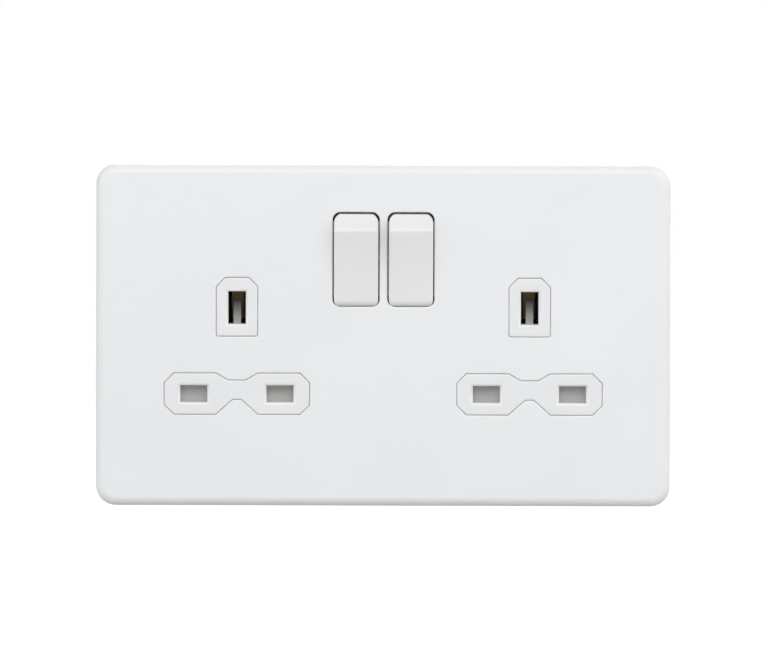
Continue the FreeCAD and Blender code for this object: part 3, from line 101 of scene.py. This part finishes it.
# Finishes, one for each material slot of the record
finishes = {
    "white_paint": {
        "colour": (0.803, 0.812, 0.822), "roughness": 0.42, "specular": 0.35,
        "grain": 900, "grainDepth": 0.012, "cloud": 30, "cloudTint": 0.012},
    "white_moulding": {
        "colour": (0.782, 0.79, 0.799), "roughness": 0.32, "specular": 0.45,
        "grain": 1400, "grainDepth": 0.006, "cloud": 60, "cloudTint": 0.01},
    "white_rocker": {
        "colour": (0.768, 0.768, 0.764), "roughness": 0.3, "specular": 0.45,
        "grain": 1400, "grainDepth": 0.006, "cloud": 60, "cloudTint": 0.01},
    "black_moulding": {
        "colour": (0.032, 0.032, 0.035), "roughness": 0.5, "specular": 0.45,
        "grain": 700, "grainDepth": 0.05, "cloud": 45, "cloudTint": 0.25},
    "retainer_plastic": {
        "colour": (0.66, 0.66, 0.63), "roughness": 0.5, "specular": 0.4,
        "grain": 1200, "grainDepth": 0.01, "cloud": 60, "cloudTint": 0.02},
    # The shutters' grey is darker than their white plastic: it paints part of the shade deep
    # inside the slots into their colour
    "shutter_plastic": {
        "colour": (0.525, 0.53, 0.505), "roughness": 0.5, "specular": 0.4,
        "grain": 1200, "grainDepth": 0.01, "cloud": 60, "cloudTint": 0.03},
    "plunger_plastic": {
        "colour": (0.68, 0.66, 0.60), "roughness": 0.45, "specular": 0.4,
        "grain": 1200, "grainDepth": 0.01, "cloud": 60, "cloudTint": 0.03},
    "spring_steel": {
        "colour": (0.55, 0.55, 0.56), "roughness": 0.3, "metal": 1.0,
        "grain": 2500, "grainDepth": 0.01, "cloud": 200, "cloudTint": 0.06},
    "copper_strip": {
        "colour": (0.62, 0.36, 0.22), "roughness": 0.42, "metal": 1.0,
        "grain": 1800, "grainDepth": 0.02, "cloud": 120, "cloudTint": 0.16},
    "brass_block": {
        "colour": (0.80, 0.61, 0.29), "roughness": 0.3, "metal": 1.0,
        "grain": 1800, "grainDepth": 0.015, "cloud": 120, "cloudTint": 0.14},
    "brass_strip": {
        "colour": (0.42, 0.32, 0.17), "roughness": 0.45, "metal": 1.0,
        "grain": 1800, "grainDepth": 0.02, "cloud": 120, "cloudTint": 0.16},
    "plated_screw": {
        "colour": (0.56, 0.565, 0.555), "roughness": 0.3, "metal": 1.0,
        "grain": 2000, "grainDepth": 0.02, "cloud": 150, "cloudTint": 0.1},
}


# What the finishes have in common: where the cloud's two tints begin, how far the roughness
# strays to each side, and the specular level where a finish names none
texture = {
    "cloudDetail": 4.0,
    "cloudFrom": 0.3,
    "cloudTo": 0.7,
    "roughnessLow": 0.85,
    "roughnessHigh": 1.15,
    "grainDetail": 3.0,
    "grainStrength": 0.35,
    "specular": 0.5,
}


# A node material: clouded colour, uneven roughness and a fine moulded or painted grain
def makeFinish(name, finish):
    material = bpy.data.materials.new(name)
    material.use_nodes = True
    tree = material.node_tree
    make = tree.nodes.new
    join = tree.links.new
    shader = tree.nodes["Principled BSDF"]
    place = make("ShaderNodeTexCoord")

    cloud = make("ShaderNodeTexNoise")
    cloud.inputs["Scale"].default_value = finish["cloud"]
    cloud.inputs["Detail"].default_value = texture["cloudDetail"]
    join(place.outputs["Object"], cloud.inputs["Vector"])
    tint = make("ShaderNodeValToRGB")
    deep = finish["cloudTint"]
    tint.color_ramp.elements[0].position = texture["cloudFrom"]
    tint.color_ramp.elements[1].position = texture["cloudTo"]
    tint.color_ramp.elements[0].color = [c * (1 - deep) for c in finish["colour"]] + [1]
    tint.color_ramp.elements[1].color = [min(c * (1 + deep), 1) for c in finish["colour"]] + [1]
    join(cloud.outputs["Fac"], tint.inputs["Fac"])
    join(tint.outputs["Color"], shader.inputs["Base Color"])

    spread = make("ShaderNodeMapRange")
    spread.inputs["To Min"].default_value = finish["roughness"] * texture["roughnessLow"]
    spread.inputs["To Max"].default_value = finish["roughness"] * texture["roughnessHigh"]
    join(cloud.outputs["Fac"], spread.inputs["Value"])
    join(spread.outputs["Result"], shader.inputs["Roughness"])

    grain = make("ShaderNodeTexNoise")
    grain.inputs["Scale"].default_value = finish["grain"]
    grain.inputs["Detail"].default_value = texture["grainDetail"]
    join(place.outputs["Object"], grain.inputs["Vector"])
    bump = make("ShaderNodeBump")
    bump.inputs["Strength"].default_value = texture["grainStrength"]
    bump.inputs["Distance"].default_value = finish["grainDepth"] * millimetre
    join(grain.outputs["Fac"], bump.inputs["Height"])
    join(bump.outputs["Normal"], shader.inputs["Normal"])

    shader.inputs["Metallic"].default_value = finish.get("metal", 0.0)
    shader.inputs["Specular IOR Level"].default_value = finish.get(
        "specular", texture["specular"])
    return material


materials = {slot: makeFinish(slot, finish) for slot, finish in finishes.items()}
for node, piece in nodes.items():
    piece.data.materials.clear()
    piece.data.materials.append(materials[slotOf[node]])
print("finishes made:", len(materials))


# Softened copies of the solids: edges that catch the light, by node and width in millimetres.
# The front edges, seen in the photograph, are rounded first and wider. The inserts keep their
# triangles, because a flat face with apertures in it tangles when its edges are rounded
softened = {
    "cover_plate": {"width": 0.15, "segments": 3, "frontWidth": 0.5},
    "outlet_insert_left": {
        "width": 0.12, "segments": 2, "frontWidth": 0.4, "joinFaces": False},
    "outlet_insert_right": {
        "width": 0.12, "segments": 2, "frontWidth": 0.4, "joinFaces": False},
    "socket_front": {"width": 0.12, "segments": 2},
    "contact_carrier": {"width": 0.12, "segments": 2},
    "rear_housing": {"width": 0.25, "segments": 2},
    "rocker_left": {"width": 0.3, "segments": 4},
    "rocker_right": {"width": 0.3, "segments": 4},
    "shutter_left": {"width": 0.15, "segments": 2},
    "shutter_right": {"width": 0.15, "segments": 2},
    "line_terminal": {"width": 0.15, "segments": 2},
    "neutral_terminal": {"width": 0.15, "segments": 2},
    "earth_terminal_left": {"width": 0.15, "segments": 2},
    "earth_terminal_right": {"width": 0.15, "segments": 2},
    "earth_strap_left": {"width": 0.1, "segments": 2},
    "earth_strap_right": {"width": 0.1, "segments": 2},
    "earth_bar": {"width": 0.08, "segments": 2},
    "line_busbar": {"width": 0.08, "segments": 2},
    "neutral_busbar": {"width": 0.08, "segments": 2},
    "shutter_retainer_left": {"width": 0.1, "segments": 2},
    "shutter_retainer_right": {"width": 0.1, "segments": 2},
    "case_screws": {"width": 0.08, "segments": 2, "rearWidth": 0.45},
    "terminal_screws": {"width": 0.08, "segments": 2, "rearWidth": 0.25},
    "wall_screws": {"width": 0.08, "segments": 2, "rearWidth": 0.4},
}
for side in ("left", "right"):
    for pole in ("neutral", "line"):
        softened["fixed_contact_%s_%s" % (side, pole)] = {"width": 0.08, "segments": 2}
        softened["moving_contact_%s_%s" % (side, pole)] = {"width": 0.1, "segments": 2}
        softened["plunger_%s_%s" % (side, pole)] = {"width": 0.1, "segments": 2}

# Screw threads: millimetres, and where each runs along the screw
threads = {
    "wall_screws": {
        "places": ((-60.3, 0.0), (60.3, 0.0)), "crest": 1.74, "root": 1.42, "pitch": 0.6,
        "start": 0.1, "end": 21.5, "toTip": True},
    "terminal_screws": {
        "places": ((-16.2, -20.0), (-5.0, -20.0), (5.0, -20.0), (16.2, -20.0)),
        "crest": 1.94, "root": 1.6, "pitch": 0.7, "start": 15.6, "end": 19.2, "toTip": False},
}
threadSteps = 20                   # sides of each turn
threadFlanks = (0.35, 0.5, 0.85)   # where its faces meet, as shares of the pitch
threadFade = 0.1                   # millimetres over which the core draws in
threadSunk = 0.05                  # millimetres of the ridge inside the core
beyondTip = 100                    # millimetres, past the end of any screw

sharpAngle = math.radians(28)    # edges sharper than this are rounded, or stay sharp
flatAngle = math.radians(0.4)    # faces flatter than this are joined
mergeReach = 1e-6                # metres
rimReach = 1e-5                  # metres from a piece's front or back to its rims
rimSteps = 4
blockSteps = 2


def mergedCopy(node, name, joinFaces):
    mesh = nodes[node].data.copy()
    mesh.name = name
    shape = bmesh.new()
    shape.from_mesh(mesh)
    bmesh.ops.remove_doubles(shape, verts=shape.verts, dist=mergeReach)
    if joinFaces:
        bmesh.ops.dissolve_limit(
            shape, angle_limit=flatAngle, verts=shape.verts, edges=shape.edges)
    return mesh, shape


def finishPiece(mesh, shape, name, node):
    shape.normal_update()
    shape.to_mesh(mesh)
    shape.free()
    piece = bpy.data.objects.new(name, mesh)
    bpy.context.scene.collection.objects.link(piece)
    mesh.shade_smooth()
    mesh.set_sharp_from_angle(angle=sharpAngle)
    mesh.materials.clear()
    mesh.materials.append(materials[slotOf[node]])
    weighted = piece.modifiers.new("faceWeighted", "WEIGHTED_NORMAL")
    weighted.keep_sharp = True
    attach(piece, bodyOf[node])
    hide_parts(node)
    return piece


def roundEdges(shape, edges, width, segments):
    bmesh.ops.bevel(
        shape, geom=edges, offset=width * millimetre, offset_type="OFFSET", segments=segments,
        profile=0.5, affect="EDGES", clamp_overlap=True, material=-1)


def sharpEdges(shape):
    return [
        edge for edge in shape.edges
        if edge.is_manifold and edge.calc_face_angle(0.0) > sharpAngle]


# A ridge wound round the screw, on a core drawn in to the thread's root
def cutThread(shape, places, crest, root, pitch, start, end, toTip):
    for level in (start, start + threadFade, end - threadFade, end):
        bmesh.ops.bisect_plane(
            shape, geom=shape.verts[:] + shape.edges[:] + shape.faces[:],
            plane_co=(0, level * millimetre, 0), plane_no=(0, 1, 0))
    coreStart = (start + threadSunk) * millimetre
    coreEnd = (beyondTip if toTip else end - threadSunk) * millimetre
    core = [vert for vert in shape.verts if coreStart < vert.co.y < coreEnd]
    for across, up in places:
        axis = Vector((across, 0, up)) * millimetre
        for vert in core:
            out = Vector((vert.co.x - axis.x, 0, vert.co.z - axis.z))
            if root * millimetre < out.length < (crest + threadFade) * millimetre:
                vert.co -= out * (1 - root * millimetre / out.length)
        foot = Vector(((across + root - threadSunk) * millimetre, start * millimetre, axis.z))
        height = crest - root + threadSunk
        lower, upper, last = [pitch * share for share in threadFlanks]
        ridge = [
            shape.verts.new(foot + Vector((rise, along, 0)) * millimetre)
            for rise, along in ((0, 0), (height, lower), (height, upper), (0, last))]
        edges = [shape.edges.new(pair) for pair in zip(ridge, ridge[1:] + ridge[:1])]
        turns = (end - start - pitch) / pitch
        steps = round(turns * threadSteps)
        wound = bmesh.ops.spin(
            shape, geom=ridge + edges, cent=axis, axis=(0, 1, 0),
            dvec=(0, (end - start - pitch) * millimetre / steps, 0),
            angle=math.tau * turns, steps=steps)
        runout = [part for part in wound["geom_last"] if isinstance(part, bmesh.types.BMEdge)]
        bmesh.ops.holes_fill(shape, edges=edges + runout, sides=4)
    bmesh.ops.recalc_face_normals(shape, faces=shape.faces)


# Rounds the front or rear rims first, then the other edges, and adds a thread if there is one
def soften(node, width, segments, frontWidth=0.0, rearWidth=0.0, joinFaces=True):
    name = node + "_finished"
    mesh, shape = mergedCopy(node, name, joinFaces)
    low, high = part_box(node)
    near = low.y + rimReach
    far = high.y - rimReach
    if frontWidth:
        rims = [edge for edge in sharpEdges(shape) if max(v.co.y for v in edge.verts) < near]
        roundEdges(shape, rims, frontWidth, rimSteps)
        near += frontWidth * millimetre
    if rearWidth:
        rims = [edge for edge in sharpEdges(shape) if min(v.co.y for v in edge.verts) > far]
        roundEdges(shape, rims, rearWidth, rimSteps)
        far -= rearWidth * millimetre
    others = [
        edge for edge in sharpEdges(shape)
        if (not frontWidth or min(v.co.y for v in edge.verts) > near)
        and (not rearWidth or max(v.co.y for v in edge.verts) < far)]
    roundEdges(shape, others, width, segments)
    if node in threads:
        cutThread(shape, **threads[node])
    return finishPiece(mesh, shape, name, node)


for node, values in softened.items():
    piece = soften(node, **values)
    print("softened", node, len(piece.data.polygons), "faces")


# The return springs stand on the moulding; each is a plain copy that rides with its body
for side in ("left", "right"):
    node = "shutter_spring_" + side
    piece = bpy.data.objects.new(node + "_finished", nodes[node].data.copy())
    bpy.context.scene.collection.objects.link(piece)
    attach(piece, bodyOf[node])
    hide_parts(node)
    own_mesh(piece)


# Moulded marks on the housing's back: a collar round each terminal's screw hole, ejector marks,
# and the plain earth symbol over the two earth terminals. All lengths in millimetres
rearMarks = {
    "collars": ((-16.2, -20.0), (-5.0, -20.0), (5.0, -20.0), (16.2, -20.0)),
    "collarInner": 3.75,
    "collarWidth": 0.9,
    "collarHeight": 0.3,
    "ringSoft": 0.35,   # bevel, as a share of the ring's height or width
    "ringSteps": 64,
    "ejectors": ((-44.0, -20.0), (44.0, -20.0), (-30.0, 24.0), (0.0, 24.0), (30.0, 24.0),
                 (-30.0, 2.0), (30.0, 2.0)),
    "ejectorRadius": 2.4,
    "ejectorWidth": 0.22,
    "ejectorHeight": 0.06,
    "earthSymbol": (0.0, -12.6),
    "barLengths": (3.2, 2.0, 0.9),
    "barWidth": 0.4,
    "barStep": 0.85,
    "stem": 1.6,
    "symbolHeight": 0.2,
    "symbolSoft": 0.06,
    "sunk": 0.1,
}


def ring(shape, across, up, inner, width, rise, back):
    deep = back - rearMarks["sunk"]
    top = back + rise
    soft = min(rise, width) * rearMarks["ringSoft"]
    rim = [
        shape.verts.new(Vector((across + inner + out, y, up)) * millimetre)
        for out, y in ((0, deep), (0, top - soft), (soft, top), (width - soft, top),
                       (width, top - soft), (width, deep))]
    edges = [shape.edges.new(pair) for pair in zip(rim, rim[1:] + rim[:1])]
    bmesh.ops.spin(
        shape, geom=rim + edges, cent=Vector((across, back, up)) * millimetre, axis=(0, 1, 0),
        angle=math.tau, steps=rearMarks["ringSteps"], use_merge=True)


def block(shape, middle, size, soft):
    made = bmesh.ops.create_cube(shape, size=millimetre)["verts"]
    bmesh.ops.scale(shape, verts=made, vec=size)
    bmesh.ops.translate(shape, verts=made, vec=Vector(middle) * millimetre)
    edges = {edge for vert in made for edge in vert.link_edges}
    roundEdges(shape, list(edges), soft, blockSteps)


def bar(shape, across, up, length, height, back):
    rise = rearMarks["symbolHeight"] + rearMarks["sunk"]
    block(shape, (across, back + rise / 2 - rearMarks["sunk"], up),
          (length, rise, height), rearMarks["symbolSoft"])


def addPiece(shape, name, node):
    bmesh.ops.recalc_face_normals(shape, faces=shape.faces)
    mesh = bpy.data.meshes.new(name)
    shape.to_mesh(mesh)
    shape.free()
    piece = bpy.data.objects.new(name, mesh)
    bpy.context.scene.collection.objects.link(piece)
    mesh.shade_smooth()
    mesh.set_sharp_from_angle(angle=sharpAngle)
    mesh.materials.append(materials[slotOf[node]])
    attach(piece, bodyOf[node])
    print("made", name, len(mesh.polygons), "faces")


def makeRearMarks():
    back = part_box("rear_housing")[1].y / millimetre
    shape = bmesh.new()
    for across, up in rearMarks["collars"]:
        ring(shape, across, up, rearMarks["collarInner"], rearMarks["collarWidth"],
             rearMarks["collarHeight"], back)
    for across, up in rearMarks["ejectors"]:
        ring(shape, across, up, rearMarks["ejectorRadius"], rearMarks["ejectorWidth"],
             rearMarks["ejectorHeight"], back)
    across, up = rearMarks["earthSymbol"]
    bar(shape, across, up + rearMarks["stem"] / 2, rearMarks["barWidth"],
        rearMarks["stem"], back)
    for step, length in enumerate(rearMarks["barLengths"]):
        bar(shape, across, up - step * rearMarks["barStep"], length, rearMarks["barWidth"], back)
    addPiece(shape, "rear_marks", "rear_housing")


makeRearMarks()


# A web above and below each trunnion, in front of the carrier's posts, so that their black
# doesn't show in the gap beside a rocker. Millimetres, in the rocker's own axes from its pivot
webs = {
    "pivot": (-2.2, 19.6),     # from the wall plane, and above the middle
    "spacing": 14.12,
    "tilt": 7.0,               # degrees, as the rocker stands at rest
    "middle": (5.86, 0.4, 1.8),
    "size": (0.52, 0.7, 1.0),
    "soft": 0.06,
}


def makeWebs(side, sign):
    shape = bmesh.new()
    across, deep, up = webs["middle"]
    for way in (-1, 1):
        for end in (-1, 1):
            block(shape, (way * across, deep, end * up), webs["size"], webs["soft"])
    turn = Matrix.Rotation(math.radians(webs["tilt"]), 4, "X")
    place = Matrix.Translation(Vector((sign * webs["spacing"] / 2, *webs["pivot"])) * millimetre)
    bmesh.ops.transform(shape, matrix=place @ turn, verts=shape.verts)
    addPiece(shape, "rocker_webs_" + side, "rocker_" + side)


makeWebs("left", -1)
makeWebs("right", 1)


# The floor lies below the plate; seen directly it is as pale as the photograph's background
stageValues = {
    "floorHeight": -0.1,
    "floorSize": 6.0,
    "floorColour": (0.5, 0.5, 0.5, 1),
    "floorRoughness": 0.9,
    "shadowShare": 0.3,
    "glow": 1.35,
}


def makeFloor():
    shape = bmesh.new()
    bmesh.ops.create_grid(shape, x_segments=2, y_segments=2, size=stageValues["floorSize"] / 2)
    bmesh.ops.translate(shape, verts=shape.verts, vec=(0, 0, stageValues["floorHeight"]))
    mesh = bpy.data.meshes.new("floor")
    shape.to_mesh(mesh)
    shape.free()
    floor = bpy.data.objects.new("floor", mesh)
    bpy.context.scene.collection.objects.link(floor)
    material = bpy.data.materials.new("paleFloor")
    material.use_nodes = True
    tree = material.node_tree
    output = tree.nodes["Material Output"]
    base = tree.nodes["Principled BSDF"]
    base.inputs["Base Color"].default_value = stageValues["floorColour"]
    base.inputs["Roughness"].default_value = stageValues["floorRoughness"]
    glow = tree.nodes.new("ShaderNodeEmission")
    glow.inputs["Color"].default_value = (1, 1, 1, 1)
    glow.inputs["Strength"].default_value = stageValues["glow"]
    paths = tree.nodes.new("ShaderNodeLightPath")
    seen = tree.nodes.new("ShaderNodeMath")
    seen.operation = "MAXIMUM"
    share = tree.nodes.new("ShaderNodeMath")
    share.operation = "MULTIPLY"
    share.inputs[1].default_value = 1 - stageValues["shadowShare"]
    mix = tree.nodes.new("ShaderNodeMixShader")
    tree.links.new(paths.outputs["Is Camera Ray"], seen.inputs[0])
    tree.links.new(paths.outputs["Is Glossy Ray"], seen.inputs[1])
    tree.links.new(seen.outputs[0], share.inputs[0])
    tree.links.new(share.outputs[0], mix.inputs["Fac"])
    tree.links.new(base.outputs["BSDF"], mix.inputs[1])
    tree.links.new(glow.outputs["Emission"], mix.inputs[2])
    tree.links.new(mix.outputs["Shader"], output.inputs["Surface"])
    mesh.materials.append(material)


def makeSurround():
    world = bpy.data.worlds.new("surround")
    bpy.context.scene.world = world
    world.use_nodes = True
    tree = world.node_tree
    back = tree.nodes["Background"]
    back.inputs["Color"].default_value = (1, 1, 1, 1)
    paths = tree.nodes.new("ShaderNodeLightPath")
    anySeen = tree.nodes.new("ShaderNodeMath")
    anySeen.operation = "MAXIMUM"
    shiny = tree.nodes.new("ShaderNodeMath")
    shiny.operation = "MAXIMUM"
    brightness = tree.nodes.new("ShaderNodeMapRange")
    brightness.inputs["To Min"].default_value = light["surround"]
    brightness.inputs["To Max"].default_value = 1.0
    tree.links.new(paths.outputs["Is Camera Ray"], anySeen.inputs[0])
    tree.links.new(paths.outputs["Is Glossy Ray"], shiny.inputs[0])
    tree.links.new(paths.outputs["Is Transmission Ray"], shiny.inputs[1])
    tree.links.new(shiny.outputs[0], anySeen.inputs[1])
    tree.links.new(anySeen.outputs[0], brightness.inputs["Value"])
    tree.links.new(brightness.outputs["Result"], back.inputs["Strength"])


def makeLamp(name, direction, distance, width, height, power):
    lamp = bpy.data.lights.new(name, "AREA")
    lamp.shape = "RECTANGLE"
    lamp.size = width
    lamp.size_y = height
    lamp.energy = power
    holder = bpy.data.objects.new(name, lamp)
    outward = Vector(direction).normalized()
    holder.location = outward * distance
    holder.rotation_euler = outward.to_track_quat("Z", "Y").to_euler()
    bpy.context.scene.collection.objects.link(holder)


def makeLights():
    makeLamp("softLight", light["direction"], light["distance"],
             light["width"], light["height"], light["power"])
    for side in ("left", "right"):
        makeLamp(side + "Light", sideLights[side]["direction"], sideLights["distance"],
                 sideLights["size"], sideLights["size"], sideLights[side]["power"])
    makeLamp("backLight", backLight["direction"], backLight["distance"],
             backLight["size"], backLight["size"], backLight["power"])


def makeCamera():
    lens = bpy.data.cameras.new("photoView")
    lens.sensor_fit = "HORIZONTAL"
    lens.sensor_width = view["sensor"]
    lens.lens = view["pixelsPerMetre"] * view["distance"] / photoSize[0] * view["sensor"]
    lens.shift_x = (photoSize[0] / 2 - view["centre"][0]) / photoSize[0]
    lens.shift_y = (view["centre"][1] - photoSize[1] / 2) / photoSize[0]
    camera = bpy.data.objects.new("photoView", lens)
    low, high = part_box("cover_plate")
    target = Vector((0, low.y, (low.z + high.z) / 2))
    rise = math.radians(view["elevation"])
    outward = Vector((0, -math.cos(rise), math.sin(rise)))
    turn = outward.to_track_quat("Z", "Y").to_matrix().to_4x4()
    roll = Matrix.Rotation(math.radians(view["roll"]), 4, "Z")
    camera.matrix_world = (
        Matrix.Translation(target + outward * view["distance"]) @ turn @ roll)
    bpy.context.scene.collection.objects.link(camera)
    bpy.context.scene.camera = camera


makeFloor()
makeSurround()
makeLights()
makeCamera()
bpy.context.scene.view_settings.view_transform = "Standard"
print("stage, light and camera set")
